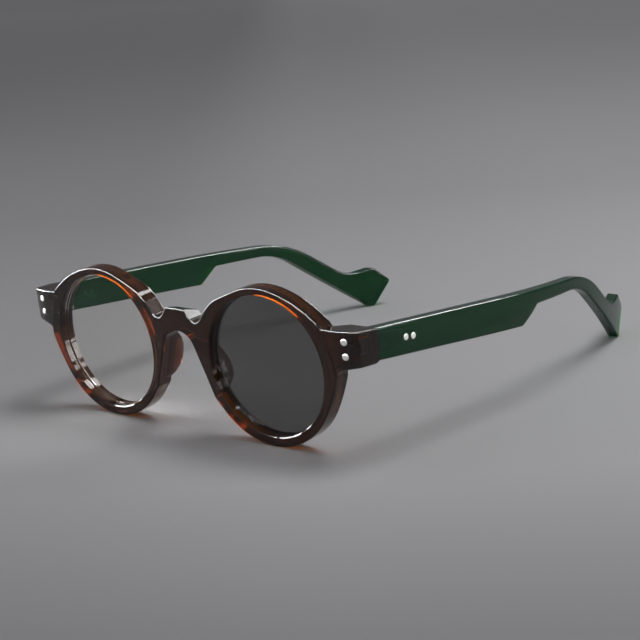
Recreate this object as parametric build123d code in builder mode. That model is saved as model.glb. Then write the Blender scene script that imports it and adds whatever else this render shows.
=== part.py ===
from build123d import *
from math import asin, atan2, cos, degrees, hypot, radians, sin, sqrt, tan
import os

# Round sunglasses with a riveted hinge on each side.
# +X is the wearer's left, +Y runs back along the temples and +Z is up.
# The front is drawn in its own leaning plane: across, up from the lens centres, and back (depth).

# Lenses and bridge
lens_width = 42.0
bridge_width = 22.0
lens_thickness = 1.8
lens_face_radius = 260.0
lens_fit_gap = 0.04

# Front
front_depth = 5.6
front_lean = 4.7
front_wrap = 1.64
rim_wall = 1.85
rim_drop = 0.42
opening_lip = 0.6
front_edge_radius = 0.45
rear_edge_radius = 0.5
opening_edge_size = 0.3
groove_width = 1.3
groove_floor_width = 0.5
groove_centre_depth = 2.7

# Crown of the bridge, the notches beside it and the nose arch
crown_width_share = 0.3
crown_height_share = 0.5996
crown_corner_radius = 0.9
crown_rear_drop = 1.5
notch_spacing_share = 0.6864
notch_height_share = 0.3922
notch_radius = 2.4
shoulder_spacing_share = 1.2909
shoulder_height_share = 0.744
shoulder_radius = 14.0
arch_radius_share = 0.2864
arch_centre_height = 0.8
flank_angle = 21.0
flank_foot_share = 0.5077
flank_foot_radius = 1.2
flank_return_angle = 217.0
rim_foot_radius = 2.5

# Raised rim round the root of each endpiece
flare_start_angle = 76.0
crease_step = 1.85
crease_top_angle = 34.5
crease_foot_angle = -2.0
crease_top_radius = 1.5
crease_foot_radius = 3.0
foot_blend_angle = -30.0

# Endpieces
endpiece_reach = 10.45
endpiece_corner_inset = 1.1
endpiece_overlap = 1.65
endpiece_foot_flare = 2.7
endpiece_root_inset = 8.1
endpiece_root_drop = 6.45
endpiece_web_overlap = 0.45
endpiece_web_drop = 14.7
endpiece_web_radius = 2.5
endpiece_shelf_inset = 9.1
endpiece_sink = 0.5
endpiece_rise_share = 0.025
endpiece_set_back = 0.55
endpiece_rivet_set_back = 0.85
endpiece_corner_set_back = 1.95
endpiece_corner_radius = 0.65
endpiece_edge_radius = 0.5
joint_y = 7.65
joint_gap = 0.1

# Temples
temple_thickness = 4.0
temple_splay = 2.6
temple_straight_length = 53.1
temple_bow_radius = 215.0
temple_root_rise = 4.7
temple_root_drop = 4.3
temple_top_fall_share = 0.0615
temple_foot_fall_share = 0.0758
temple_edge_radius = 0.6
temple_length = 145.3
temple_bend_share = 0.7206
temple_bend_top_radius = 42.0
temple_notch_share = 0.8871
temple_notch_z = 12.85
temple_notch_radius = 13.0
temple_heel_top_share = 0.9573
temple_heel_top_z = 14.2
temple_end_z = 8.7
temple_heel_share = 0.9532
temple_heel_drop_share = 0.377
temple_heel_radius = 1.5
temple_corner_radius = 1.0
temple_bend_foot_share = 0.6889
temple_bend_foot_drop = 0.8
temple_bend_foot_radius = 30.0
step_foot_share = 0.4446
step_foot_radius = 1.6
step_run_share = 0.0502
step_rise = 5.1
step_top_radius = 1.0
facet_start_x = 14.0
facet_start_drop = 0.69
facet_end_drop = 0.8
facet_angle = 11.0
facet_overrun = 1.5

# Nose pads
pad_height = -2.55
pad_inset = 0.2
pad_half_width = 1.6
pad_half_length = 7.1
pad_half_depth = 4.4
pad_sink = 0.5
pad_lean = 12.0
pad_turn = 15.0
pad_pitch = 8.0
pad_seat_gap = 0.03

# Hinges, screws and rivets
hinge_rise = 8.1
hinge_axis_inset = 3.0
hinge_axis_set_back = 1.35
knuckle_radius = 1.2
knuckle_height = 1.14
knuckle_gap = 0.05
leaf_thickness = 0.8
leaf_height = 5.9
leaf_corner_radius = 0.8
front_leaf_width = 4.9
temple_leaf_start = 0.0
temple_leaf_length = 16.4
temple_leaf_cover = 0.7
temple_leaf_tip_height = 3.6
temple_leaf_tip_drop = 0.25
tip_round_share = 0.49
arm_flare_share = 1.6
screw_radius = 0.6
screw_head_radius = 0.95
screw_head_height = 0.45
screw_slot_width = 0.25
screw_slot_depth = 0.2
screw_fit = 0.04
rivet_radius = 0.6
rivet_head_radius = 0.92
rivet_head_height = 0.35
rivet_proud = 0.22
rivet_edge_size = 0.15
rivet_slope_share = 0.7
rivet_fit = 0.02
front_rivet_inset = 5.0
front_rivet_reach = 6.9
front_leaf_edge = 1.6
front_rivet_spacing = 4.07
temple_rivet_start = 11.3
temple_rivet_spacing = 3.0
temple_rivet_sink = 0.25
temple_rivet_drop = 0.3
cut_overrun = 4.0
facing_share = 0.9
bow_share = 0.8
flat_share = 0.999

os.makedirs("parts", exist_ok=True)

# Worked out from the sizes above
lean_sin = sin(radians(front_lean))
lean_cos = cos(radians(front_lean))
wrap_tan = tan(radians(front_wrap))
rim_x = (lens_width + bridge_width) / 2
rim_outer_radius = lens_width / 2 + rim_wall
rim_side_x = rim_x + rim_outer_radius
crease_radius = rim_outer_radius + crease_step
wrap_start = bridge_width / 2
wrap_radius = wrap_start / sin(radians(front_wrap))
wrap_start_depth = wrap_radius * (1 - cos(radians(front_wrap)))
rim_depth = wrap_start_depth + (rim_x - wrap_start) * wrap_tan
rounding_height = (front_edge_radius - (rim_depth + front_edge_radius) * lean_sin) / lean_cos
lens_centre_height = rim_outer_radius + rim_drop - front_edge_radius + rounding_height
opening_radius = lens_width / 2 - opening_lip
groove_radius = lens_width / 2 + lens_fit_gap

crown_half_width = bridge_width * crown_width_share / 2
crown_height = rim_outer_radius * crown_height_share
notch_half_spacing = bridge_width * notch_spacing_share / 2
notch_height = rim_outer_radius * notch_height_share
shoulder_half_spacing = bridge_width * shoulder_spacing_share / 2
shoulder_height = rim_outer_radius * shoulder_height_share
arch_radius = bridge_width * arch_radius_share
flank_foot_height = -rim_outer_radius * flank_foot_share

# Places of the endpiece, hinge and temple, from the side of the rim and the lens centre
endpiece_rear_x = rim_side_x + endpiece_reach
endpiece_corner_x = endpiece_rear_x - endpiece_corner_inset
endpiece_inner_x = rim_side_x - endpiece_overlap
endpiece_wide_x = endpiece_rear_x + endpiece_foot_flare
endpiece_root_x = endpiece_rear_x - endpiece_root_inset
endpiece_web_x = rim_side_x - endpiece_web_overlap
endpiece_shelf_x = endpiece_rear_x - endpiece_shelf_inset
front_rivet_x = endpiece_rear_x - front_rivet_inset
hinge_axis_x = endpiece_rear_x - temple_thickness - hinge_axis_inset
hinge_centre_z = lens_centre_height * lean_cos + hinge_rise
endpiece_root_z = hinge_centre_z - endpiece_root_drop
endpiece_web_z = hinge_centre_z - endpiece_web_drop
temple_root_top_z = hinge_centre_z + temple_root_rise
temple_root_foot_z = hinge_centre_z - temple_root_drop
temple_rivet_z = hinge_centre_z - temple_rivet_sink
temple_bend_x = temple_length * temple_bend_share
temple_notch_x = temple_length * temple_notch_share
temple_heel_top_x = temple_length * temple_heel_top_share
temple_heel_x = temple_length * temple_heel_share
temple_bend_foot_x = temple_length * temple_bend_foot_share
step_foot_x = temple_length * step_foot_share
step_foot_z = temple_root_foot_z - step_foot_x * temple_foot_fall_share
step_top_x = step_foot_x + temple_length * step_run_share
step_top_z = step_foot_z + step_rise
temple_bend_foot_z = step_top_z - temple_bend_foot_drop
facet_start_z = temple_root_foot_z - facet_start_x * temple_foot_fall_share - facet_start_drop
facet_end_z = step_top_z - facet_end_drop

up = Vector(0, -lean_sin, lean_cos)
back = Vector(0, lean_cos, lean_sin)
front_origin = up * lens_centre_height
front_plane = Plane(origin=front_origin, x_dir=(1, 0, 0), z_dir=-back)
plan_plane = Plane(origin=front_origin, x_dir=(1, 0, 0), z_dir=up)
rim_normal = Vector(sin(radians(front_wrap)), 0, 0) - back * cos(radians(front_wrap))
rim_origin = front_origin + Vector(rim_x, 0, 0) + back * rim_depth
rim_plane = Plane(origin=rim_origin, x_dir=up.cross(rim_normal), z_dir=rim_normal)
rim_section = Plane(origin=rim_origin, x_dir=rim_plane.x_dir, z_dir=rim_plane.y_dir)
joint_plane = Plane(origin=(0, joint_y, 0), x_dir=(1, 0, 0), z_dir=(0, -1, 0))
joint_depth = joint_y * lean_cos + hinge_centre_z * lean_sin


def on_circle(radius, angle, centre_x=rim_x, centre_y=0.0):
    # point at an angle on a circle, measured round the rim from the temple side
    return (centre_x + radius * cos(radians(angle)), centre_y + radius * sin(radians(angle)))


def tangent_point(x, y):
    # where a line from a point on the nose side touches the top of the rim's outer circle
    reach = hypot(x - rim_x, y + rim_drop)
    angle = degrees(atan2(y + rim_drop, x - rim_x)) - degrees(asin(sqrt(1 - (rim_outer_radius / reach) ** 2)))
    return on_circle(rim_outer_radius, angle, rim_x, -rim_drop)


def front_face_depth(x):
    # depth of the wrapped front face at a distance across from the bridge
    return wrap_start_depth + (x - wrap_start) * wrap_tan


def to_side(depth, height):
    # point of the middle plane, from depth and height in the front's own plane
    point = front_origin + back * depth + up * height
    return (point.Y, point.Z)


web_rear_y = (front_face_depth(endpiece_root_x) + front_depth - endpiece_sink - endpiece_root_z * lean_sin) / lean_cos
rivet_face_depth = front_face_depth(front_rivet_x) + endpiece_rivet_set_back
endpiece_corner_depth = front_face_depth(endpiece_corner_x) + endpiece_corner_set_back

# Front: half of the outline, from the crown down the rim and back up the nose arch
flare_start = on_circle(rim_outer_radius, flare_start_angle, rim_x, -rim_drop)
flare_end = on_circle(crease_radius, crease_top_angle)
crease_foot = on_circle(crease_radius, crease_foot_angle)
foot_blend = on_circle(rim_outer_radius, foot_blend_angle, rim_x, -rim_drop)
flank_return = on_circle(rim_outer_radius, flank_return_angle, rim_x, -rim_drop)
arch_side = on_circle(arch_radius, flank_angle, 0, arch_centre_height)
flank_foot = (arch_side[0] + (arch_side[1] - flank_foot_height) * tan(radians(flank_angle)), flank_foot_height)
brow_touch = tangent_point(shoulder_half_spacing, shoulder_height)
foot_tangent_angle = radians(foot_blend_angle + 90)

with BuildPart() as front_half:
    with BuildSketch(front_plane) as front_outline:
        with BuildLine():
            FilletPolyline(
                (0, crown_height),
                (crown_half_width, crown_height),
                (notch_half_spacing, notch_height),
                (shoulder_half_spacing, shoulder_height),
                brow_touch,
                radius=[crown_corner_radius, notch_radius, shoulder_radius],
            )
            ThreePointArc(brow_touch, (rim_x, rim_outer_radius - rim_drop), flare_start)
            TangentArc(
                flare_start,
                flare_end,
                tangent=(sin(radians(flare_start_angle)), -cos(radians(flare_start_angle))),
            )
            ThreePointArc(flare_end, on_circle(crease_radius, (crease_top_angle + crease_foot_angle) / 2), crease_foot)
            TangentArc(
                foot_blend,
                crease_foot,
                tangent=(cos(foot_tangent_angle), sin(foot_tangent_angle)),
            )
            ThreePointArc(foot_blend, (rim_x, -rim_outer_radius - rim_drop), flank_return)
            FilletPolyline(flank_return, flank_foot, arch_side, radius=[flank_foot_radius])
            ThreePointArc(
                arch_side,
                on_circle(arch_radius, (flank_angle + 90) / 2, 0, arch_centre_height),
                (0, arch_centre_height + arch_radius),
            )
            Line((0, arch_centre_height + arch_radius), (0, crown_height))
        make_face()
        corner_points = [flare_end, crease_foot, flank_return]
        for point, radius in zip(corner_points, [crease_top_radius, crease_foot_radius, rim_foot_radius]):
            fillet(front_outline.vertices().sort_by_distance(point)[0], radius=radius)
    extrude(amount=-(front_depth + cut_overrun), both=True)
    with BuildSketch(plan_plane):
        with BuildLine():
            Line((0, 0), (0, front_depth))
            TangentArc((0, 0), (wrap_start, wrap_start_depth), tangent=(1, 0))
            Line((wrap_start, wrap_start_depth), (endpiece_rear_x, front_face_depth(endpiece_rear_x)))
            Line(
                (endpiece_rear_x, front_face_depth(endpiece_rear_x)),
                (endpiece_rear_x, front_face_depth(endpiece_rear_x) + front_depth),
            )
            Line(
                (endpiece_rear_x, front_face_depth(endpiece_rear_x) + front_depth),
                (wrap_start, wrap_start_depth + front_depth),
            )
            TangentArc((0, front_depth), (wrap_start, wrap_start_depth + front_depth), tangent=(1, 0))
        make_face()
    extrude(amount=2 * rim_outer_radius, both=True, mode=Mode.INTERSECT)

    # Rounded edges all round the outline, in front and behind
    face_edges = front_half.faces().filter_by(lambda face: face.normal_at().dot(back) < -facing_share).edges()
    fillet(face_edges.filter_by(Axis((0, 0, 0), up), reverse=True), radius=front_edge_radius)
    face_edges = front_half.faces().filter_by(lambda face: face.normal_at().dot(back) > facing_share).edges()
    fillet(face_edges.filter_by(Axis((0, 0, 0), up), reverse=True), radius=rear_edge_radius)

    # The top of the crown slopes down to the rear
    with BuildSketch(Plane.YZ):
        with BuildLine():
            Polyline(
                to_side(front_edge_radius, crown_height),
                to_side(front_depth, crown_height - crown_rear_drop),
                to_side(front_depth + cut_overrun, crown_height - crown_rear_drop),
                to_side(front_depth + cut_overrun, crown_height + cut_overrun),
                to_side(front_edge_radius, crown_height + cut_overrun),
                close=True,
            )
        make_face()
    extrude(amount=notch_half_spacing, mode=Mode.SUBTRACT)

# Endpiece: set back below the raised rim, with its rear face at the joint
with BuildPart() as endpiece:
    with BuildSketch(joint_plane) as endpiece_outline:
        with BuildLine():
            Polyline(
                (endpiece_inner_x, temple_root_top_z),
                (endpiece_wide_x, temple_root_top_z),
                (endpiece_wide_x, temple_root_foot_z),
                (endpiece_root_x, endpiece_root_z),
                (endpiece_web_x, endpiece_web_z),
                (endpiece_inner_x, endpiece_web_z),
                close=True,
            )
        make_face()
        web_corner = endpiece_outline.vertices().sort_by_distance((endpiece_root_x, endpiece_root_z))[0]
        fillet(web_corner, radius=endpiece_web_radius)
    extrude(amount=2 * joint_y, dir=(0, -1, endpiece_rise_share))
    with BuildSketch(plan_plane) as endpiece_plan:
        with BuildLine():
            face_arc = ThreePointArc(
                (endpiece_inner_x, front_face_depth(endpiece_inner_x) + endpiece_set_back),
                (front_rivet_x, rivet_face_depth),
                (endpiece_corner_x, endpiece_corner_depth),
            )
            Polyline(
                (endpiece_corner_x, endpiece_corner_depth),
                (endpiece_rear_x, joint_depth),
                (endpiece_rear_x, joint_depth + cut_overrun),
                (endpiece_shelf_x, joint_depth + cut_overrun),
                (endpiece_shelf_x, joint_depth),
                (endpiece_inner_x, front_face_depth(endpiece_inner_x) + front_depth - endpiece_sink),
                (endpiece_inner_x, front_face_depth(endpiece_inner_x) + endpiece_set_back),
            )
        make_face()
        plan_corner = endpiece_plan.vertices().sort_by_distance((endpiece_corner_x, endpiece_corner_depth))[0]
        fillet(plan_corner, radius=endpiece_corner_radius)
    extrude(amount=rim_outer_radius, both=True, mode=Mode.INTERSECT)
    with BuildSketch(Plane.YZ):
        with BuildLine():
            Polyline(
                (-2 * joint_y, endpiece_web_z),
                (web_rear_y, endpiece_web_z),
                (web_rear_y, endpiece_root_z),
                (joint_y, temple_root_foot_z),
                (joint_y, temple_root_top_z + cut_overrun),
                (-2 * joint_y, temple_root_top_z + cut_overrun),
                close=True,
            )
        make_face()
    extrude(amount=endpiece_wide_x, mode=Mode.INTERSECT)
    face_edges = endpiece.faces().sort_by(Axis((0, 0, 0), back))[0].edges()
    fillet(face_edges.filter_by(Axis((0, 0, 0), up), reverse=True), radius=endpiece_edge_radius)

# Front hinge leaf: a plate let into the endpiece, with three knuckles
knuckle_pitch = knuckle_height + knuckle_gap
knuckle_foot_z = hinge_centre_z - 2 * knuckle_pitch - knuckle_height / 2
knuckle_top_z = hinge_centre_z + 2 * knuckle_pitch + knuckle_height / 2
hinge_axis_y = joint_y + hinge_axis_set_back
front_knuckle_planes = [Plane.XY.offset(knuckle_foot_z + step * knuckle_pitch) for step in (0, 2, 4)]
temple_knuckle_planes = [Plane.XY.offset(knuckle_foot_z + step * knuckle_pitch) for step in (1, 3)]
front_rivet_points = [
    (front_rivet_x, hinge_centre_z + front_rivet_spacing / 2),
    (front_rivet_x, hinge_centre_z - front_rivet_spacing / 2),
]

with BuildPart() as front_hinge_leaf_left:
    with BuildSketch(joint_plane):
        with Locations((front_rivet_x + front_leaf_edge - front_leaf_width / 2, hinge_centre_z)):
            RectangleRounded(front_leaf_width, leaf_height, leaf_corner_radius)
    extrude(amount=leaf_thickness)
    with BuildSketch(*front_knuckle_planes):
        with Locations((hinge_axis_x, hinge_axis_y)):
            Circle(knuckle_radius)
        with Locations((hinge_axis_x, hinge_axis_y - hinge_axis_set_back / 2)):
            Rectangle(2 * knuckle_radius, hinge_axis_set_back)
    extrude(amount=knuckle_height)
    with Locations((hinge_axis_x, hinge_axis_y, knuckle_top_z)):
        CounterBoreHole(screw_radius + screw_fit, screw_head_radius + screw_fit, screw_head_height)
    with BuildSketch(joint_plane):
        with Locations(*front_rivet_points):
            Circle(rivet_radius + rivet_fit)
    extrude(amount=leaf_thickness, mode=Mode.SUBTRACT)
print("front leaf", front_hinge_leaf_left.part.volume, front_hinge_leaf_left.part.is_valid)

# Temple planes: the side plane runs along the temple, and the plan plane looks down on it
splay_sin = sin(radians(temple_splay))
splay_cos = cos(radians(temple_splay))
temple_axis_x = endpiece_rear_x - temple_thickness / 2
side_plane = Plane(
    origin=(temple_axis_x, joint_y, 0), x_dir=(splay_sin, splay_cos, 0), z_dir=(splay_cos, -splay_sin, 0)
)
temple_plan_plane = Plane(origin=(temple_axis_x, joint_y, 0), x_dir=(splay_sin, splay_cos, 0), z_dir=(0, 0, 1))
leaf_inner_offset = temple_leaf_cover - temple_thickness / 2
leaf_plane = side_plane.offset(leaf_inner_offset)
temple_rivet_points = [
    (temple_rivet_start, temple_rivet_z),
    (temple_rivet_start + temple_rivet_spacing, temple_rivet_z - temple_rivet_drop),
]
temple_inward = -side_plane.z_dir
arm_root_x = endpiece_rear_x - temple_thickness + temple_leaf_cover + leaf_thickness / 2
facet_rise = atan2(facet_end_z - facet_start_z, step_top_x - facet_start_x)
facet_x_dir = side_plane.x_dir * cos(facet_rise) + Vector(0, 0, sin(facet_rise))
facet_dir = temple_inward * sin(radians(facet_angle)) - Vector(0, 0, cos(radians(facet_angle)))
facet_plane = Plane(
    origin=side_plane.from_local_coords(Vector(facet_start_x, facet_start_z, temple_thickness / 2))
    - facet_dir * facet_overrun,
    x_dir=facet_x_dir,
    z_dir=facet_x_dir.cross(temple_inward),
)
facet_straight = temple_straight_length - facet_start_x
facet_sweep = degrees(asin((step_top_x + cut_overrun - temple_straight_length) / temple_bow_radius))
leaf_tip_z = temple_rivet_z - temple_rivet_drop - temple_leaf_tip_drop

# Temple hinge leaf: a tapered plate sunk in the temple, with two knuckles on arms
with BuildPart() as temple_hinge_leaf_left:
    with BuildSketch(leaf_plane) as temple_leaf_outline:
        with BuildLine():
            Polyline(
                (temple_leaf_start, hinge_centre_z - leaf_height / 2),
                (temple_leaf_start, hinge_centre_z + leaf_height / 2),
                (temple_leaf_start + temple_leaf_length, leaf_tip_z + temple_leaf_tip_height / 2),
                (temple_leaf_start + temple_leaf_length, leaf_tip_z - temple_leaf_tip_height / 2),
                close=True,
            )
        make_face()
        root_corners = temple_leaf_outline.vertices().group_by(Axis.X)[0]
        fillet(root_corners, radius=leaf_corner_radius)
        tip_corners = temple_leaf_outline.vertices().group_by(Axis.X)[-1]
        fillet(tip_corners, radius=temple_leaf_tip_height * tip_round_share)
    extrude(amount=leaf_thickness)
    with BuildSketch(*temple_knuckle_planes):
        with Locations((hinge_axis_x, hinge_axis_y)):
            Circle(knuckle_radius)
        with BuildLine():
            Polyline(
                (hinge_axis_x, hinge_axis_y - knuckle_radius),
                (hinge_axis_x, hinge_axis_y + knuckle_radius),
                (arm_root_x, hinge_axis_y + knuckle_radius * arm_flare_share),
                (arm_root_x, hinge_axis_y - knuckle_radius),
                close=True,
            )
        make_face()
    extrude(amount=knuckle_height)
    with Locations((hinge_axis_x, hinge_axis_y, knuckle_top_z)):
        Hole(screw_radius + screw_fit)
    with BuildSketch(leaf_plane):
        with Locations(*temple_rivet_points):
            Circle(rivet_radius + rivet_fit)
    extrude(amount=leaf_thickness, mode=Mode.SUBTRACT)
print("temple leaf", temple_hinge_leaf_left.part.volume, temple_hinge_leaf_left.part.is_valid)

# Hinge screw: slotted head let into the top knuckle
with BuildPart() as hinge_screw_left:
    with Locations((hinge_axis_x, hinge_axis_y, knuckle_foot_z)):
        Cylinder(
            screw_radius,
            knuckle_top_z - knuckle_foot_z - screw_head_height,
            align=(Align.CENTER, Align.CENTER, Align.MIN),
        )
    with Locations((hinge_axis_x, hinge_axis_y, knuckle_top_z - screw_head_height)):
        Cylinder(screw_head_radius, screw_head_height, align=(Align.CENTER, Align.CENTER, Align.MIN))
    chamfer(hinge_screw_left.faces().sort_by(Axis.Z)[-1].edges(), length=screw_slot_depth / 2)
    with Locations((hinge_axis_x, hinge_axis_y, knuckle_top_z)):
        Box(
            2 * screw_head_radius,
            screw_slot_width,
            screw_slot_depth,
            align=(Align.CENTER, Align.CENTER, Align.MAX),
            mode=Mode.SUBTRACT,
        )
print("screw", hinge_screw_left.part.volume, hinge_screw_left.part.is_valid)

# Endpiece rivets: the shafts end flush with the leaf, the heads follow the curve of the front
rivet_seat_depth = joint_y - front_rivet_reach
face_slope = atan2(
    endpiece_corner_set_back - endpiece_rivet_set_back, endpiece_corner_x - front_rivet_x
) * rivet_slope_share + radians(front_wrap)
head_normal = Vector(sin(face_slope), 0, 0) - back * cos(face_slope)
head_origin = front_origin + Vector(front_rivet_x, 0, 0) + back * rivet_face_depth + head_normal * rivet_proud
with BuildPart() as front_rivets_left:
    with BuildSketch(joint_plane):
        with Locations(*front_rivet_points):
            Circle(rivet_radius)
    extrude(amount=front_rivet_reach)
    with BuildSketch(joint_plane.offset(front_rivet_reach)):
        with Locations(*front_rivet_points):
            Circle(rivet_head_radius)
    extrude(amount=cut_overrun)
    split(bisect_by=Plane(origin=head_origin, z_dir=head_normal), keep=Keep.BOTTOM)
    head_edges = front_rivets_left.faces().filter_by(lambda face: face.normal_at().dot(head_normal) > flat_share)
    chamfer(head_edges.edges(), length=rivet_edge_size)
print("front rivets", front_rivets_left.part.volume, front_rivets_left.part.is_valid)

# Temple rivets: from the leaf to the outer face of the temple
with BuildPart() as temple_rivets_left:
    with BuildSketch(leaf_plane):
        with Locations(*temple_rivet_points):
            Circle(rivet_radius)
    extrude(amount=temple_thickness / 2 - leaf_inner_offset - rivet_head_height)
    with BuildSketch(side_plane.offset(temple_thickness / 2 - rivet_head_height)):
        with Locations(*temple_rivet_points):
            Circle(rivet_head_radius)
    extrude(amount=rivet_head_height + rivet_proud)
    head_faces = temple_rivets_left.faces().sort_by(Axis((0, 0, 0), side_plane.z_dir))[-2:]
    chamfer(head_faces.edges(), length=rivet_edge_size)
print("temple rivets", temple_rivets_left.part.volume, temple_rivets_left.part.is_valid)

# Front: join the endpieces, then cut the lens openings, the leaf pockets and the rivet bores
with BuildPart() as front:
    add(front_half.part)
    add(endpiece.part)
    with BuildSketch(rim_section):
        with BuildLine():
            Polyline(
                (0, -cut_overrun),
                (opening_radius + opening_edge_size, -cut_overrun),
                (opening_radius + opening_edge_size, 0),
                (opening_radius, opening_edge_size),
                (opening_radius, groove_centre_depth - groove_width / 2),
                (groove_radius, groove_centre_depth - groove_floor_width / 2),
                (groove_radius, groove_centre_depth + groove_floor_width / 2),
                (opening_radius, groove_centre_depth + groove_width / 2),
                (opening_radius, front_depth - opening_edge_size),
                (opening_radius + opening_edge_size, front_depth),
                (opening_radius + opening_edge_size, front_depth + cut_overrun),
                (0, front_depth + cut_overrun),
                close=True,
            )
        make_face()
    revolve(axis=Axis(rim_origin, rim_normal), mode=Mode.SUBTRACT)
    with BuildSketch(joint_plane):
        with Locations((front_rivet_x + front_leaf_edge - front_leaf_width / 2, hinge_centre_z)):
            RectangleRounded(front_leaf_width, leaf_height, leaf_corner_radius)
    extrude(amount=leaf_thickness, mode=Mode.SUBTRACT)
    with BuildSketch(joint_plane):
        with Locations(*front_rivet_points):
            Circle(rivet_radius + rivet_fit)
    extrude(amount=front_rivet_reach, mode=Mode.SUBTRACT)
    with BuildSketch(joint_plane.offset(front_rivet_reach)):
        with Locations(*front_rivet_points):
            Circle(rivet_head_radius + rivet_fit)
    extrude(amount=cut_overrun, mode=Mode.SUBTRACT)
    mirror(about=Plane.YZ)
print("front", front.part.volume, front.part.is_valid, len(front.part.solids()))

# Lens: curved, with a bevelled edge that sits in the groove of the rim
lens_body_radius = opening_radius - lens_fit_gap
lens_sag = lens_face_radius - sqrt(lens_face_radius**2 - lens_body_radius**2)
lens_front_depth = groove_centre_depth - lens_thickness / 2
with BuildPart() as lens_left:
    with BuildSketch(rim_section):
        with BuildLine():
            TangentArc(
                (0, lens_front_depth - lens_sag), (lens_body_radius, lens_front_depth), tangent=(1, 0)
            )
            Polyline(
                (lens_body_radius, lens_front_depth),
                (lens_body_radius, groove_centre_depth - groove_width / 2 + lens_fit_gap),
                (lens_width / 2, groove_centre_depth - groove_floor_width / 2 + lens_fit_gap),
                (lens_width / 2, groove_centre_depth + groove_floor_width / 2 - lens_fit_gap),
                (lens_body_radius, groove_centre_depth + groove_width / 2 - lens_fit_gap),
                (lens_body_radius, lens_front_depth + lens_thickness),
            )
            TangentArc(
                (0, lens_front_depth + lens_thickness - lens_sag),
                (lens_body_radius, lens_front_depth + lens_thickness),
                tangent=(1, 0),
            )
            Line((0, lens_front_depth - lens_sag), (0, lens_front_depth + lens_thickness - lens_sag))
        make_face()
    revolve(axis=Axis(rim_origin, rim_normal))
print("lens", lens_left.part.volume, lens_left.part.is_valid)

# Temple: side shape within a bowed band, with rounded long edges
bow_angle = degrees(asin((temple_length + cut_overrun - temple_straight_length) / temple_bow_radius))
outer_radius = temple_bow_radius + temple_thickness / 2
inner_radius = temple_bow_radius - temple_thickness / 2
with BuildPart() as temple_left:
    with BuildSketch(side_plane):
        with BuildLine():
            FilletPolyline(
                (-cut_overrun, temple_root_top_z + cut_overrun * temple_top_fall_share),
                (temple_bend_x, temple_root_top_z - temple_bend_x * temple_top_fall_share),
                (temple_notch_x, temple_notch_z),
                (temple_heel_top_x, temple_heel_top_z),
                (temple_length, temple_end_z),
                (temple_heel_x, -temple_heel_radius * temple_heel_drop_share),
                (temple_bend_foot_x, temple_bend_foot_z),
                (step_top_x, step_top_z),
                (step_foot_x, step_foot_z),
                (-cut_overrun, temple_root_foot_z + cut_overrun * temple_foot_fall_share),
                radius=[
                    temple_bend_top_radius,
                    temple_notch_radius,
                    temple_corner_radius,
                    temple_corner_radius,
                    temple_heel_radius,
                    temple_bend_foot_radius,
                    step_top_radius,
                    step_foot_radius,
                ],
            )
            Line(
                (-cut_overrun, temple_root_foot_z + cut_overrun * temple_foot_fall_share),
                (-cut_overrun, temple_root_top_z + cut_overrun * temple_top_fall_share),
            )
        make_face()
    extrude(amount=temple_notch_x / 4, both=True)
    with BuildSketch(temple_plan_plane):
        with BuildLine():
            Line((-cut_overrun, -temple_thickness / 2), (temple_straight_length, -temple_thickness / 2))
            outer_arc = CenterArc((temple_straight_length, temple_bow_radius), outer_radius, 270, bow_angle)
            inner_arc = CenterArc((temple_straight_length, temple_bow_radius), inner_radius, 270, bow_angle)
            Line((-cut_overrun, temple_thickness / 2), (temple_straight_length, temple_thickness / 2))
            Line((-cut_overrun, -temple_thickness / 2), (-cut_overrun, temple_thickness / 2))
            Line(outer_arc @ 1, inner_arc @ 1)
        make_face()
    extrude(amount=temple_root_top_z + cut_overrun, both=True, mode=Mode.INTERSECT)
    split(bisect_by=Plane(origin=(0, joint_y + joint_gap, 0), z_dir=(0, 1, 0)), keep=Keep.TOP)
    side_faces = temple_left.faces().filter_by(
        lambda face: abs(face.normal_at().dot(side_plane.z_dir)) > bow_share
    )
    fillet(side_faces.edges().filter_by(Axis.Z, reverse=True), radius=temple_edge_radius)

    # Bevelled facet, low on the outer face, that widens to the step
    with BuildSketch(facet_plane):
        with BuildLine():
            Line((0, 0), (facet_straight, 0))
            facet_arc = CenterArc((facet_straight, outer_radius), outer_radius, 270, facet_sweep)
            Polyline((0, 0), (0, -cut_overrun), facet_arc @ 1 - Vector(0, 2 * cut_overrun, 0), facet_arc @ 1)
        make_face()
    extrude(
        amount=step_top_z - step_foot_z + cut_overrun + facet_overrun,
        dir=facet_dir,
        mode=Mode.SUBTRACT,
    )
    add(temple_hinge_leaf_left.part, mode=Mode.SUBTRACT)
    with BuildSketch(leaf_plane):
        with Locations(*temple_rivet_points):
            Circle(rivet_radius + rivet_fit)
    extrude(amount=temple_thickness / 2 - leaf_inner_offset, mode=Mode.SUBTRACT)
    with BuildSketch(side_plane.offset(temple_thickness / 2 - rivet_head_height)):
        with Locations(*temple_rivet_points):
            Circle(rivet_head_radius + rivet_fit)
    extrude(amount=rivet_head_height + rivet_proud, mode=Mode.SUBTRACT)
print("temple", temple_left.part.volume, temple_left.part.is_valid, len(temple_left.part.solids()))

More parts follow.
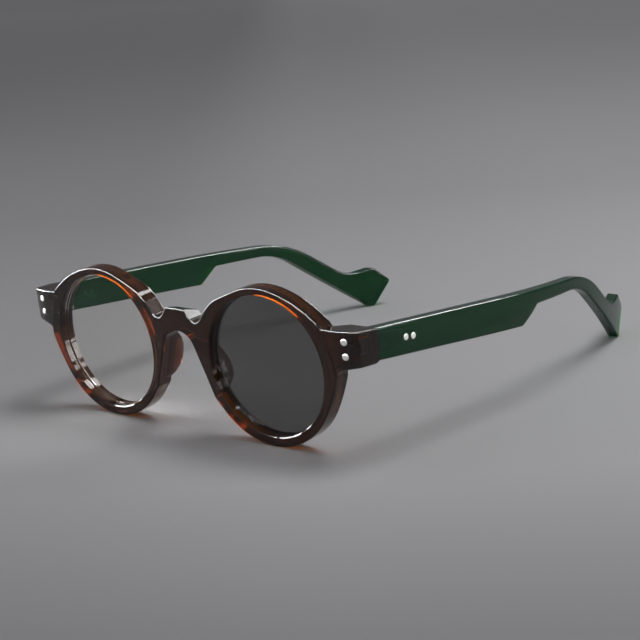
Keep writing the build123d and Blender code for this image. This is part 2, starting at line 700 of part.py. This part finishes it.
# Nose pad: a rounded lobe bonded behind the nose flank of the rim
pad_offset = pad_inset + pad_half_width
pad_centre = (
    arch_side[0] + (arch_side[1] - pad_height) * tan(radians(flank_angle)) + pad_offset * cos(radians(flank_angle)),
    pad_height + pad_offset * sin(radians(flank_angle)),
)
pad_plane = rim_plane.offset(-front_depth - pad_seat_gap)
pad_place = pad_plane.offset(pad_sink).location * Location(
    (pad_centre[0] - rim_x, pad_centre[1], 0), (pad_pitch, pad_turn, pad_lean)
)
with BuildPart() as pad_body:
    Sphere(pad_half_length)
    scale(by=(pad_half_width / pad_half_length, 1, pad_half_depth / pad_half_length))
with BuildPart() as nose_pad_left:
    add(pad_body.part.moved(pad_place))
    split(bisect_by=pad_plane, keep=Keep.BOTTOM)
print("pad", nose_pad_left.part.volume, nose_pad_left.part.is_valid, len(nose_pad_left.part.solids()))

with BuildPart() as lens_right:
    add(mirror(lens_left.part, about=Plane.YZ))
with BuildPart() as nose_pad_right:
    add(mirror(nose_pad_left.part, about=Plane.YZ))
with BuildPart() as front_hinge_leaf_right:
    add(mirror(front_hinge_leaf_left.part, about=Plane.YZ))
with BuildPart() as temple_hinge_leaf_right:
    add(mirror(temple_hinge_leaf_left.part, about=Plane.YZ))
with BuildPart() as hinge_screw_right:
    add(mirror(hinge_screw_left.part, about=Plane.YZ))
with BuildPart() as front_rivets_right:
    add(mirror(front_rivets_left.part, about=Plane.YZ))
with BuildPart() as temple_rivets_right:
    add(mirror(temple_rivets_left.part, about=Plane.YZ))
with BuildPart() as temple_right:
    add(mirror(temple_left.part, about=Plane.YZ))

# The origin is under the middle of the whole, on the floor
pieces = {
    "front": front,
    "lens_left": lens_left,
    "lens_right": lens_right,
    "nose_pad_left": nose_pad_left,
    "nose_pad_right": nose_pad_right,
    "front_hinge_leaf_left": front_hinge_leaf_left,
    "front_hinge_leaf_right": front_hinge_leaf_right,
    "temple_hinge_leaf_left": temple_hinge_leaf_left,
    "temple_hinge_leaf_right": temple_hinge_leaf_right,
    "hinge_screw_left": hinge_screw_left,
    "hinge_screw_right": hinge_screw_right,
    "front_rivets_left": front_rivets_left,
    "front_rivets_right": front_rivets_right,
    "temple_rivets_left": temple_rivets_left,
    "temple_rivets_right": temple_rivets_right,
    "temple_left": temple_left,
    "temple_right": temple_right,
}
whole = Compound([piece.part for piece in pieces.values()]).bounding_box()
shift = Location((0, -(whole.min.Y + whole.max.Y) / 2, -whole.min.Z))
for name, piece in pieces.items():
    placed = piece.part.moved(shift)
    placed.label = name
    export_step(placed, f"parts/{name}.step")
print("shift", shift.position, "size", whole.size)
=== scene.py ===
import math

import bpy
from mathutils import Matrix, Vector


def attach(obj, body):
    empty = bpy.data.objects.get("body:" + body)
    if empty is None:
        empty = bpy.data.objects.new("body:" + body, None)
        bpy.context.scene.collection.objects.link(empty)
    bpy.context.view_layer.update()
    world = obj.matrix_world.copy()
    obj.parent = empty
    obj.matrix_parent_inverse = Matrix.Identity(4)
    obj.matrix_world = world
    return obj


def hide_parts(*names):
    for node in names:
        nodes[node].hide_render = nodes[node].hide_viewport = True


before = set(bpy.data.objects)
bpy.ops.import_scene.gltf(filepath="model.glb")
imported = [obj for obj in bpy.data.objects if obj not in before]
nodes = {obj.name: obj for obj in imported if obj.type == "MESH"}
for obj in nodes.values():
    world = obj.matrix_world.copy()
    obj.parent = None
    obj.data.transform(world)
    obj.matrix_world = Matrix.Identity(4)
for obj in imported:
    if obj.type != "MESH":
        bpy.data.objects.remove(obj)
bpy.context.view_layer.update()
print("frame loaded:", len(nodes), "nodes")

mm = 0.001


def toLinear(hexColour):
    channels = [int(hexColour[i:i + 2], 16) / 255 for i in (1, 3, 5)]
    return [c / 12.92 if c <= 0.04045 else ((c + 0.055) / 1.055) ** 2.4 for c in channels] + [1.0]


def addNode(tree, kind, settings=None, values=None, links=None):
    node = tree.nodes.new(kind)
    for name, value in (settings or {}).items():
        setattr(node, name, value)
    for name, value in (values or {}).items():
        node.inputs[name].default_value = value
    for name, source in (links or {}).items():
        tree.links.new(source, node.inputs[name])
    return node


def newMaterial(name):
    material = bpy.data.materials.new(name)
    material.use_nodes = True
    material.node_tree.nodes.clear()
    return material, material.node_tree


def setStops(ramp, stops):
    band = ramp.color_ramp
    while len(band.elements) < len(stops):
        band.elements.new(0.5)
    for element, (place, colour) in zip(band.elements, stops):
        element.position = place
        element.color = colour


# What both acetates share: cellulose acetate sheet, milled, then barrel tumbled and buffed with wax.
buffedSheet = {
    "clearRange": (0.3, 0.7),  # noise levels between which the body goes from milky to clear
    "scuffSize": 1.4,          # mm
    "scuffRange": (0.35, 0.75),
    "scuff": 0.05,             # roughness that the fine scuffs add
    "polishIor": 1.5,          # of the wax
    "polishRoughness": 0.04,
}

# Brown tortoise acetate looks almost black where it is thick, glows amber where light gets through a thin wall,
# and carries soft darker clouds that lie along the sheet.
brownAcetate = {
    **buffedSheet,
    "colours": ((0.30, "#9a6a48"), (0.55, "#c08a5c"), (0.80, "#e6b07c")),
    "cloudSize": (17.0, 6.5, 6.5),     # mm, longest across the front
    "cloudDetail": 4.0,
    "cloudRoughness": 0.55,
    "cloudDistortion": 0.9,
    "clearLow": 0.955,         # how much of the body is clear rather than milky
    "clearShare": 0.985,
    "polish": 0.15,
    "ior": 1.48,
    "roughness": 0.055,
    "waveLength": 5.0,         # mm, the gentle waviness that buffing leaves
    "wave": 0.012,             # mm
    "absorb": 1600.0,          # per metre
    "absorbColour": (0.73, 0.60, 0.06, 1.0),
}

# The pads are filed from a lighter, milkier part of the sheet, so more light gets through them.
lobeAcetate = {
    **brownAcetate,
    "colours": ((0.30, "#7a4020"), (0.55, "#94542a"), (0.80, "#b87038")),
    "clearLow": 0.84,
    "clearShare": 0.88,
    "absorb": 900.0,
    "absorbColour": (0.87, 0.66, 0.08, 1.0),
}

# Bottle green crystal acetate for the temples. Light soaks in, so the flat faces are deep green and the thin
# lower edges are brighter.
greenAcetate = {
    **buffedSheet,
    "colours": ((0.35, "#2f8a60"), (0.75, "#55b887")),
    "cloudSize": (7.0, 30.0, 7.0),     # mm, longest along the temple
    "cloudDetail": 3.0,
    "cloudRoughness": 0.5,
    "cloudDistortion": 0.6,
    "clearLow": 0.86,
    "clearShare": 0.93,
    "polish": 0.0,
    "ior": 1.35,
    "roughness": 0.085,
    "waveLength": 7.0,
    "wave": 0.014,
    "absorb": 2000.0,
    "absorbColour": (0.02, 0.76, 0.50, 1.0),
}


def makeAcetate(name, spec):
    material, tree = newMaterial(name)
    place = addNode(tree, "ShaderNodeTexCoord")
    sheet = addNode(
        tree, "ShaderNodeMapping",
        values={"Scale": [1 / (size * mm) for size in spec["cloudSize"]]},
        links={"Vector": place.outputs["Object"]},
    )
    clouds = addNode(
        tree, "ShaderNodeTexNoise",
        values={
            "Scale": 1.0, "Detail": spec["cloudDetail"], "Roughness": spec["cloudRoughness"],
            "Distortion": spec["cloudDistortion"],
        },
        links={"Vector": sheet.outputs["Vector"]},
    )
    colour = addNode(tree, "ShaderNodeValToRGB", links={"Fac": clouds.outputs["Fac"]})
    setStops(colour, [(at, toLinear(hexColour)) for at, hexColour in spec["colours"]])
    milky, crystal = spec["clearRange"]
    clear = addNode(
        tree, "ShaderNodeMapRange",
        values={"From Min": milky, "From Max": crystal, "To Min": spec["clearLow"], "To Max": spec["clearShare"]},
        links={"Value": clouds.outputs["Fac"]},
    )
    fine = addNode(
        tree, "ShaderNodeTexNoise",
        values={"Scale": 1 / (spec["scuffSize"] * mm), "Detail": 5.0, "Roughness": 0.6},
        links={"Vector": place.outputs["Object"]},
    )
    smooth, scuffed = spec["scuffRange"]
    rough = addNode(
        tree, "ShaderNodeMapRange",
        values={
            "From Min": smooth, "From Max": scuffed,
            "To Min": spec["roughness"], "To Max": spec["roughness"] + spec["scuff"],
        },
        links={"Value": fine.outputs["Fac"]},
    )
    waves = addNode(
        tree, "ShaderNodeTexNoise",
        values={"Scale": 1 / (spec["waveLength"] * mm), "Detail": 1.0},
        links={"Vector": place.outputs["Object"]},
    )
    bump = addNode(
        tree, "ShaderNodeBump",
        values={"Strength": 1.0, "Distance": spec["wave"] * mm},
        links={"Height": waves.outputs["Fac"]},
    )
    shader = addNode(
        tree, "ShaderNodeBsdfPrincipled",
        values={
            "IOR": spec["ior"], "Coat Weight": spec["polish"], "Coat IOR": spec["polishIor"],
            "Coat Roughness": spec["polishRoughness"],
        },
        links={
            "Base Color": colour.outputs["Color"],
            "Roughness": rough.outputs["Result"],
            "Transmission Weight": clear.outputs["Result"],
            "Normal": bump.outputs["Normal"],
        },
    )
    inside = addNode(
        tree, "ShaderNodeVolumeAbsorption",
        values={"Color": spec["absorbColour"], "Density": spec["absorb"]},
    )
    addNode(
        tree, "ShaderNodeOutputMaterial",
        links={"Surface": shader.outputs["BSDF"], "Volume": inside.outputs["Volume"]},
    )
    return material


# Cast resin lenses with an anti-reflection coat, so they mirror little. One is clear, and the other is dyed in
# a bath, so its tint sits in the skin and varies a little.
lensResin = {"roughness": 0.0, "dyeCloud": 26.0, "dyeShade": 0.96}     # cloud in mm, shade of its darker parts
clearLens = {**lensResin, "name": "clear_resin_lens", "tint": "#fcfcfb", "ior": 1.16, "shine": 0.5}
greyLens = {**lensResin, "name": "grey_dyed_resin_lens", "tint": "#6f6f6f", "ior": 1.498, "shine": 0.25}


def makeLens(spec):
    material, tree = newMaterial(spec["name"])
    place = addNode(tree, "ShaderNodeTexCoord")
    dye = addNode(
        tree, "ShaderNodeTexNoise",
        values={"Scale": 1 / (spec["dyeCloud"] * mm), "Detail": 1.0},
        links={"Vector": place.outputs["Object"]},
    )
    tint = toLinear(spec["tint"])
    colour = addNode(tree, "ShaderNodeValToRGB", links={"Fac": dye.outputs["Fac"]})
    setStops(colour, [(0.2, [c * spec["dyeShade"] for c in tint[:3]] + [1.0]), (0.8, tint)])
    shader = addNode(
        tree, "ShaderNodeBsdfPrincipled",
        values={
            "IOR": spec["ior"], "Roughness": spec["roughness"], "Transmission Weight": 1.0,
            "Specular IOR Level": spec["shine"],
        },
        links={"Base Color": colour.outputs["Color"]},
    )
    addNode(tree, "ShaderNodeOutputMaterial", links={"Surface": shader.outputs["BSDF"]})
    return material


# Both metals come out of a tumbling barrel, which leaves a fine even grain.
tumbled = {"spread": 0.08, "relief": 0.004, "reliefStrength": 0.5}     # added roughness, and relief in mm
# Hinge: nickel silver, stamped and milled, with a soft satin skin.
hingeMetal = {
    **tumbled, "name": "nickel_silver_barrel_finished",
    "colour": "#cfc7b4", "dull": "#a69e8c", "roughness": 0.24, "grain": 0.35,
}
# Rivets: nickel-plated brass with lightly polished heads, so each one is evenly bright with a wide soft gloss.
rivetMetal = {
    **tumbled, "name": "nickel_plated_rivet_polished",
    "colour": "#f6f5f2", "dull": "#e2dfda", "roughness": 0.48, "grain": 0.25,
}


def makeMetal(spec):
    material, tree = newMaterial(spec["name"])
    place = addNode(tree, "ShaderNodeTexCoord")
    grain = addNode(
        tree, "ShaderNodeTexNoise",
        values={"Scale": 1 / (spec["grain"] * mm), "Detail": 4.0, "Roughness": 0.6},
        links={"Vector": place.outputs["Object"]},
    )
    colour = addNode(tree, "ShaderNodeValToRGB", links={"Fac": grain.outputs["Fac"]})
    setStops(colour, [(0.3, toLinear(spec["dull"])), (0.7, toLinear(spec["colour"]))])
    rough = addNode(
        tree, "ShaderNodeMapRange",
        values={
            "From Min": 0.3, "From Max": 0.7,
            "To Min": spec["roughness"] + spec["spread"], "To Max": spec["roughness"],
        },
        links={"Value": grain.outputs["Fac"]},
    )
    bump = addNode(
        tree, "ShaderNodeBump",
        values={"Strength": spec["reliefStrength"], "Distance": spec["relief"] * mm},
        links={"Height": grain.outputs["Fac"]},
    )
    shader = addNode(
        tree, "ShaderNodeBsdfPrincipled",
        values={"Metallic": 1.0},
        links={
            "Base Color": colour.outputs["Color"],
            "Roughness": rough.outputs["Result"],
            "Normal": bump.outputs["Normal"],
        },
    )
    addNode(tree, "ShaderNodeOutputMaterial", links={"Surface": shader.outputs["BSDF"]})
    return material


brown = makeAcetate("brown_tortoise_acetate_buffed", brownAcetate)
brownThin = makeAcetate("brown_tortoise_acetate_thin", lobeAcetate)
green = makeAcetate("green_crystal_acetate_buffed", greenAcetate)
clearResin = makeLens(clearLens)
greyResin = makeLens(greyLens)
hingeSteel = makeMetal(hingeMetal)
rivetSilver = makeMetal(rivetMetal)
print("materials made")

# The front's own axes: across, up and back, from the middle of the bridge, level with the lens centres.
frontFrame = {
    "lean": 4.7,               # degrees
    "wrap": 1.64,              # degrees
    "centreHeight": 23.172,    # mm, up the lean
    "shift": -75.1974,         # mm, from the frame's origin to the foot of the front
    "bridgeHalf": 11.0,        # mm, where the curve of the bridge runs into the flat of the rim
    "lensX": 32.0,
}
lean = math.radians(frontFrame["lean"])
wrap = math.radians(frontFrame["wrap"])
upFront = Vector((0, -math.sin(lean), math.cos(lean)))
backFront = Vector((0, math.cos(lean), math.sin(lean)))
wrapRadius = frontFrame["bridgeHalf"] / math.sin(wrap)
wrapStart = wrapRadius * (1 - math.cos(wrap))


def onFront(across, height, depth):    # a point, in metres, from its place on the front in mm
    reach = abs(across)
    if reach < frontFrame["bridgeHalf"]:
        curve = wrapRadius - math.sqrt(wrapRadius ** 2 - reach ** 2)
    else:
        curve = wrapStart + (reach - frontFrame["bridgeHalf"]) * math.tan(wrap)
    point = Vector((across, frontFrame["shift"], 0))
    point += upFront * (frontFrame["centreHeight"] + height) + backFront * (depth + curve)
    return point * mm


def addPiece(name, points, faces, finish, sharpAngle=35.0):
    mesh = bpy.data.meshes.new(name)
    mesh.from_pydata(points, [], faces)
    mesh.update()
    for face in mesh.polygons:
        face.use_smooth = True
    mesh.set_sharp_from_angle(angle=math.radians(sharpAngle))
    mesh.materials.append(finish)
    piece = bpy.data.objects.new(name, mesh)
    bpy.context.scene.collection.objects.link(piece)
    return piece


# A thin meniscus with a bevelled edge for the groove, turned in rings so that what is seen through it is clean.
lensShape = {
    "bodyRadius": 20.36,       # mm
    "edgeRadius": 21.0,
    "faceRadius": 260.0,
    "ringShares": (0.08, 0.25, 0.45, 0.65, 0.82, 0.94, 1.0),
    "frontDepth": 1.8,
    "thickness": 1.8,
    "bevelDepth": 2.7,
    "bevelHalf": 0.61,
    "bevelTipHalf": 0.21,
    "steps": 128,
}


def makeLensBody(name, side, finish, spec):
    rim = spec["bodyRadius"]
    sag = spec["faceRadius"] - math.sqrt(spec["faceRadius"] ** 2 - rim ** 2)
    radii = [rim * share for share in spec["ringShares"]]
    rings = []
    for radius in radii:
        curve = spec["faceRadius"] - math.sqrt(spec["faceRadius"] ** 2 - radius ** 2)
        rings.append((radius, spec["frontDepth"] - sag + curve))
    rings.append((rim, spec["bevelDepth"] - spec["bevelHalf"]))
    rings.append((spec["edgeRadius"], spec["bevelDepth"] - spec["bevelTipHalf"]))
    rings.append((spec["edgeRadius"], spec["bevelDepth"] + spec["bevelTipHalf"]))
    rings.append((rim, spec["bevelDepth"] + spec["bevelHalf"]))
    for radius, depth in reversed(rings[:len(radii)]):
        rings.append((radius, depth + spec["thickness"]))
    turn = wrap * side
    normal = Vector((math.sin(turn), 0, 0)) - backFront * math.cos(turn)
    centre = onFront(side * frontFrame["lensX"], 0, 0)
    across = upFront.cross(normal)
    points = []
    for radius, depth in rings:
        for step in range(spec["steps"]):
            angle = 2 * math.pi * step / spec["steps"]
            out = across * math.cos(angle) + upFront * math.sin(angle)
            points.append(centre + (out * radius - normal * depth) * mm)
    faces = []
    for ring in range(len(rings) - 1):
        for step in range(spec["steps"]):
            after = (step + 1) % spec["steps"]
            a, b = ring * spec["steps"], (ring + 1) * spec["steps"]
            faces.append((a + step, b + step, b + after, a + after))
    for ring, outward in ((0, True), (len(rings) - 1, False)):
        points.append(centre - normal * (spec["frontDepth"] - sag + (0 if outward else spec["thickness"])) * mm)
        middle = len(points) - 1
        for step in range(spec["steps"]):
            after = (step + 1) % spec["steps"]
            a = ring * spec["steps"]
            faces.append((middle, a + step, a + after) if outward else (middle, a + after, a + step))
    body = addPiece(name, points, faces, finish)
    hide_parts("lens_left" if side > 0 else "lens_right")
    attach(body, "front")


for lensName, side, finish in (("lens_body_left", 1, greyResin), ("lens_body_right", -1, clearResin)):
    makeLensBody(lensName, side, finish, lensShape)
print("lens bodies made")


# Each pad is filed and buffed into the nose wall of its rim, so the two run together with no seam.
nosePad = {
    "wallFoot": (5.882, 3.06),     # mm, where the straight nose wall leaves the arch
    "wallSlope": 0.3839,
    "archRadius": 6.3,
    "archHeight": 0.8,
    "archLeast": 0.01,             # mm squared, keeps the root real above the arch
    "rearDepth": 5.6,
    "startDepth": 1.4,
    "top": 5.0,
    "bottom": -10.6,
    "reach": (                     # mm, a height and how far the pad stands behind the rim there
        (5.0, -1.0), (3.6, 1.2), (1.5, 2.9), (-0.6, 3.9), (-2.8, 4.4), (-5.0, 4.5), (-7.0, 3.95), (-8.8, 2.3),
        (-10.6, -0.9),
    ),
    "fullReach": 3.5,              # mm, the reach that counts as full
    "width": 3.1,
    "thinShare": 0.72,             # the width with no reach
    "swell": 0.22,                 # mm, how far the full pad stands out of the nose wall
    "swellRise": 1.6,
    "sink": 0.12,                  # mm, how far its ends sink into the wall
    "sinkFall": 2.5,
    "bulgePower": 0.62,            # a squarer oval: flat on the nose side, round behind
    "alongPower": 0.80,
    "rows": 44,
    "columns": 40,
    "sharpAngle": 60.0,            # degrees
}
tableEasing = 0.35


def smoothValue(table, at):    # eased reading between the rows of a table of places and values
    for (a, valueA), (b, valueB) in zip(table, table[1:]):
        if b <= at <= a:
            share = (a - at) / (a - b)
            share = share * share * (3 - 2 * share) * tableEasing + share * (1 - tableEasing)
            return valueA + (valueB - valueA) * share
    return table[-1][1] if at < table[-1][0] else table[0][1]


def noseWall(height, spec):
    footX, footHeight = spec["wallFoot"]
    if height < footHeight:
        return footX + (footHeight - height) * spec["wallSlope"]
    return math.sqrt(max(spec["archRadius"] ** 2 - (height - spec["archHeight"]) ** 2, spec["archLeast"]))


def makeNosePad(name, side, finish, spec):
    points = []
    for row in range(spec["rows"] + 1):
        height = spec["top"] + (spec["bottom"] - spec["top"]) * row / spec["rows"]
        reach = smoothValue(spec["reach"], height)
        rear = spec["rearDepth"] + reach
        fullness = max(reach, 0) / spec["fullReach"]
        swell = spec["swell"] * min(1.0, fullness * spec["swellRise"])
        swell -= spec["sink"] * (1 - min(1.0, fullness * spec["sinkFall"]))
        width = spec["width"] * (spec["thinShare"] + (1 - spec["thinShare"]) * fullness)
        middle = (spec["startDepth"] + rear) / 2
        half = (rear - spec["startDepth"]) / 2
        for column in range(spec["columns"]):
            angle = 2 * math.pi * column / spec["columns"]
            c, s = math.cos(angle), math.sin(angle)
            bulge = math.copysign(abs(c) ** spec["bulgePower"], c)
            along = math.copysign(abs(s) ** spec["alongPower"], s)
            inward = -width / 2 + swell + bulge * width / 2     # positive is towards the nose
            across = noseWall(height, spec) - inward
            points.append(onFront(side * across, height, middle + along * half))
    faces = []
    count = spec["columns"]
    for row in range(spec["rows"]):
        for column in range(count):
            after = (column + 1) % count
            a, b = row * count, (row + 1) * count
            quad = (a + column, a + after, b + after, b + column)
            faces.append(quad if side > 0 else quad[::-1])
    top = tuple(range(count))
    bottom = tuple(range(spec["rows"] * count, (spec["rows"] + 1) * count))
    faces.append(top[::-1] if side > 0 else top)
    faces.append(bottom if side > 0 else bottom[::-1])
    pad = addPiece(name, points, faces, finish, spec["sharpAngle"])
    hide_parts("nose_pad_left" if side > 0 else "nose_pad_right")
    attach(pad, "front")


for padName, side in (("nose_lobe_left", 1), ("nose_lobe_right", -1)):
    makeNosePad(padName, side, brownThin, nosePad)
print("nose pads made")


finishOf = {
    "front": brown,
    "nose_pad_left": brown,
    "nose_pad_right": brown,
    "temple_left": green,
    "temple_right": green,
    "lens_right": clearResin,
    "lens_left": greyResin,
    "front_hinge_leaf_left": hingeSteel,
    "front_hinge_leaf_right": hingeSteel,
    "temple_hinge_leaf_left": hingeSteel,
    "temple_hinge_leaf_right": hingeSteel,
    "hinge_screw_left": hingeSteel,
    "hinge_screw_right": hingeSteel,
    "front_rivets_left": rivetSilver,
    "front_rivets_right": rivetSilver,
    "temple_rivets_left": rivetSilver,
    "temple_rivets_right": rivetSilver,
}
for nodeName, finish in finishOf.items():
    piece = nodes[nodeName]
    piece.data.materials.clear()
    piece.data.materials.append(finish)
print("materials on", len(finishOf), "nodes")


camera = {
    "position": (337.26, -397.7525, 141.31),    # mm, fitted to corners of the object in the photograph
    "target": (2.932, -19.3345, 20.554),
    "roll": -3.83,                              # degrees
    "lens": 94.59,                              # mm, as is the sensor
    "sensor": 36.0,
    "near": 0.01,                               # m
    "far": 30.0,
}
sight = Vector(camera["target"]) - Vector(camera["position"])
heading = math.atan2(sight.x, sight.y)          # the fixed way that the paper is laid, turned about the vertical


# Seamless grey paper, swept up behind the object, matt with a faint tooth. Its colour carries painted shade: it is
# darkened across and along it to stand in for how the light falls off.
paper = {
    "colour": "#c2c1c3",
    "roughness": 0.75,
    "shine": 0.05,
    "tooth": 1.1,              # mm
    "toothDepth": 0.05,        # mm
    "toothStrength": 0.25,
    "acrossFrom": -0.30,       # m, left of the object as the camera sees it
    "acrossTo": 0.30,
    # painted shade across the paper: factors on its colour, darker on the left
    "acrossPaintedShade": ((0.0, 0.74), (0.30, 0.75), (0.50, 0.95), (0.75, 1.02)),
    "alongFrom": -0.25,        # m, from in front of the object to far behind it
    "alongTo": 3.0,
    # painted shade along the paper: factors on its colour, from in front of the object to far behind it
    "alongPaintedShade": ((0.012, 0.43), (0.042, 0.66), (0.075, 0.66), (0.18, 0.54), (0.33, 0.59), (0.88, 0.92)),
    "front": -2.5,             # m, towards the camera
    "back": 4.2,
    "half": 4.0,
    "rise": 2.6,
    "bend": 1.2,
    "bendSteps": 16,
}


def makePaper(spec):
    material, tree = newMaterial("grey_seamless_paper")
    place = addNode(tree, "ShaderNodeTexCoord")
    tooth = addNode(
        tree, "ShaderNodeTexNoise",
        values={"Scale": 1 / (spec["tooth"] * mm), "Detail": 3.0},
        links={"Vector": place.outputs["Object"]},
    )
    bump = addNode(
        tree, "ShaderNodeBump",
        values={"Strength": spec["toothStrength"], "Distance": spec["toothDepth"] * mm},
        links={"Height": tooth.outputs["Fac"]},
    )
    across = addNode(
        tree, "ShaderNodeVectorMath", {"operation": "DOT_PRODUCT"},
        links={0: place.outputs["Object"]},
    )
    across.inputs[1].default_value = (math.cos(heading), -math.sin(heading), 0)
    along = addNode(
        tree, "ShaderNodeVectorMath", {"operation": "DOT_PRODUCT"},
        links={0: place.outputs["Object"]},
    )
    along.inputs[1].default_value = (math.sin(heading), math.cos(heading), 0)
    acrossShare = addNode(
        tree, "ShaderNodeMapRange",
        values={"From Min": spec["acrossFrom"], "From Max": spec["acrossTo"]},
        links={"Value": across.outputs["Value"]},
    )
    alongShare = addNode(
        tree, "ShaderNodeMapRange",
        values={"From Min": spec["alongFrom"], "From Max": spec["alongTo"]},
        links={"Value": along.outputs["Value"]},
    )
    # the painted shade: two ramps that darken the paper's colour across and along it
    acrossShadeRamp = addNode(tree, "ShaderNodeValToRGB", links={"Fac": acrossShare.outputs["Result"]})
    setStops(acrossShadeRamp, [(at, (v, v, v, 1)) for at, v in spec["acrossPaintedShade"]])
    alongShadeRamp = addNode(tree, "ShaderNodeValToRGB", links={"Fac": alongShare.outputs["Result"]})
    setStops(alongShadeRamp, [(at, (v, v, v, 1)) for at, v in spec["alongPaintedShade"]])
    acrossShadeRamp.color_ramp.interpolation = "EASE"
    paintedShade = addNode(
        tree, "ShaderNodeMix", {"data_type": "RGBA", "blend_type": "MULTIPLY"},
        links={6: acrossShadeRamp.outputs["Color"], 7: alongShadeRamp.outputs["Color"]},
    )
    paintedShade.inputs[0].default_value = 1.0
    sheet = addNode(
        tree, "ShaderNodeMix", {"data_type": "RGBA", "blend_type": "MULTIPLY"},
        links={7: paintedShade.outputs[2]},
    )
    sheet.inputs[0].default_value = 1.0
    sheet.inputs[6].default_value = toLinear(spec["colour"])
    shader = addNode(
        tree, "ShaderNodeBsdfPrincipled",
        values={"Roughness": spec["roughness"], "Specular IOR Level": spec["shine"]},
        links={"Base Color": sheet.outputs[2], "Normal": bump.outputs["Normal"]},
    )
    addNode(tree, "ShaderNodeOutputMaterial", links={"Surface": shader.outputs["BSDF"]})
    return material


def makeBackdrop(spec):
    bendStart = spec["back"] - spec["bend"]
    rows = [(spec["front"], 0.0), (bendStart, 0.0)]
    for step in range(1, spec["bendSteps"] + 1):
        turn = math.radians(90 * step / spec["bendSteps"])
        rows.append((bendStart + spec["bend"] * math.sin(turn), spec["bend"] * (1 - math.cos(turn))))
    rows.append((spec["back"], spec["rise"]))
    points = []
    for along, up in rows:
        for side in (-spec["half"], spec["half"]):
            points.append((
                along * math.sin(heading) + side * math.cos(heading),
                along * math.cos(heading) - side * math.sin(heading),
                up,
            ))
    faces = [(2 * i, 2 * i + 1, 2 * i + 3, 2 * i + 2) for i in range(len(rows) - 1)]
    mesh = bpy.data.meshes.new("backdrop")
    mesh.from_pydata(points, [], faces)
    mesh.update()
    for face in mesh.polygons:
        face.use_smooth = True
    backdrop = bpy.data.objects.new("backdrop", mesh)
    bpy.context.scene.collection.objects.link(backdrop)
    backdrop.data.materials.append(makePaper(spec))


makeBackdrop(paper)
print("backdrop made")


# One soft box behind the right shoulder and a room light, dimmer at the back, give the plain level. The cards only
# show in gloss, as the long reflections that a studio places on polished edges. Places and sizes are in metres.
# A level card hangs flat, with its first size along x.
softboxes = {
    "key": {"at": (0.20, 0.34, 1.07), "aim": (0, 0, 0), "size": (0.58, 0.46), "radiance": 8.7},
    # the light lines along the upper edges of the rims
    "archTop": {
        "at": (-0.20, -0.38, 0.95), "aim": (-0.20, -0.38, 0), "size": (1.5, 0.62), "radiance": 21.0,
        "card": True, "level": True,
    },
    # their left ends
    "archSide": {
        "at": (-0.98, -0.27, 0.44), "aim": (0, -0.27, 0.10), "size": (0.50, 0.96), "radiance": 18.0, "card": True,
    },
    # the flanks of the crown and of the notch beside it
    "crownCard": {
        "at": (0.405, 0.650, 0.895), "aim": (0.005, -0.0755, 0.035), "size": (0.08, 0.06), "radiance": 10.0,
        "card": True,
    },
    "notchCard": {
        "at": (0.490, 0.630, 0.879), "aim": (-0.011, -0.075, 0.036), "size": (0.05, 0.05), "radiance": 1.2,
        "card": True,
    },
    # the inner wall of the left rim
    "behindMid": {
        "at": (0.694, 0.592, 0.674), "aim": (-0.05, -0.075, 0.014), "size": (0.11, 0.26), "radiance": 7.0,
        "card": True,
    },
    "behindLow": {
        "at": (0.853, 0.622, 0.290), "aim": (-0.05, -0.075, 0.014), "size": (0.22, 0.60), "radiance": 7.0,
        "card": True,
    },
    # the upper edges of the temples
    "templeCard": {
        "at": (0.005, 0.285, 0.27), "aim": (0.005, 0.285, 0), "size": (0.23, 0.15), "radiance": 18.0,
        "card": True, "level": True,
    },
}
room = {
    "colour": "#f4f5f8",
    "light": 0.44,
    "dimFrom": 0.30,           # y part of the direction, where the light starts to fall towards the back
    "dimTo": 0.62,
    "dimShare": 0.3,           # what is left of it from there on
}

for lampName, spec in softboxes.items():
    lampData = bpy.data.lights.new(lampName, "AREA")
    lampData.shape = "RECTANGLE"
    lampData.size, lampData.size_y = spec["size"]
    lampData.energy = spec["radiance"] * math.pi * spec["size"][0] * spec["size"][1]
    lamp = bpy.data.objects.new(lampName, lampData)
    bpy.context.scene.collection.objects.link(lamp)
    lamp.location = Vector(spec["at"])
    if not spec.get("level"):
        lamp.rotation_euler = (Vector(spec["at"]) - Vector(spec["aim"])).to_track_quat("Z", "Y").to_euler()
    if spec.get("card"):
        lamp.visible_diffuse = False

world = bpy.data.worlds.new("studio")
world.use_nodes = True
worldTree = world.node_tree
background = worldTree.nodes["Background"]
lookUp = addNode(worldTree, "ShaderNodeTexCoord")
split = addNode(worldTree, "ShaderNodeSeparateXYZ", links={"Vector": lookUp.outputs["Generated"]})
dim = addNode(
    worldTree, "ShaderNodeMapRange",
    values={
        "From Min": room["dimFrom"], "From Max": room["dimTo"],
        "To Min": room["light"], "To Max": room["light"] * room["dimShare"],
    },
    links={"Value": split.outputs["Y"]},
)
background.inputs["Color"].default_value = toLinear(room["colour"])
worldTree.links.new(dim.outputs["Result"], background.inputs["Strength"])
bpy.context.scene.world = world
print("lamps set")


# The camera stands where the photograph was taken from.
eye = Vector(camera["position"]) * mm
target = Vector(camera["target"]) * mm
forward = (target - eye).normalized()
right = forward.cross(Vector((0, 0, 1))).normalized()
up = right.cross(forward)
roll = math.radians(camera["roll"])
rolledRight = right * math.cos(roll) + up * math.sin(roll)
rolledUp = up * math.cos(roll) - right * math.sin(roll)
cameraData = bpy.data.cameras.new("photo_view")
cameraData.lens = camera["lens"]
cameraData.sensor_width = camera["sensor"]
cameraData.clip_start = camera["near"]
cameraData.clip_end = camera["far"]
cameraObject = bpy.data.objects.new("photo_view", cameraData)
bpy.context.scene.collection.objects.link(cameraObject)
matrix = Matrix.Identity(4)
for column, axis in enumerate((rolledRight, rolledUp, -forward, eye)):
    for row in range(3):
        matrix[row][column] = axis[row]
cameraObject.matrix_world = matrix
bpy.context.scene.camera = cameraObject
bpy.context.scene.view_settings.view_transform = "Standard"
print("camera set")
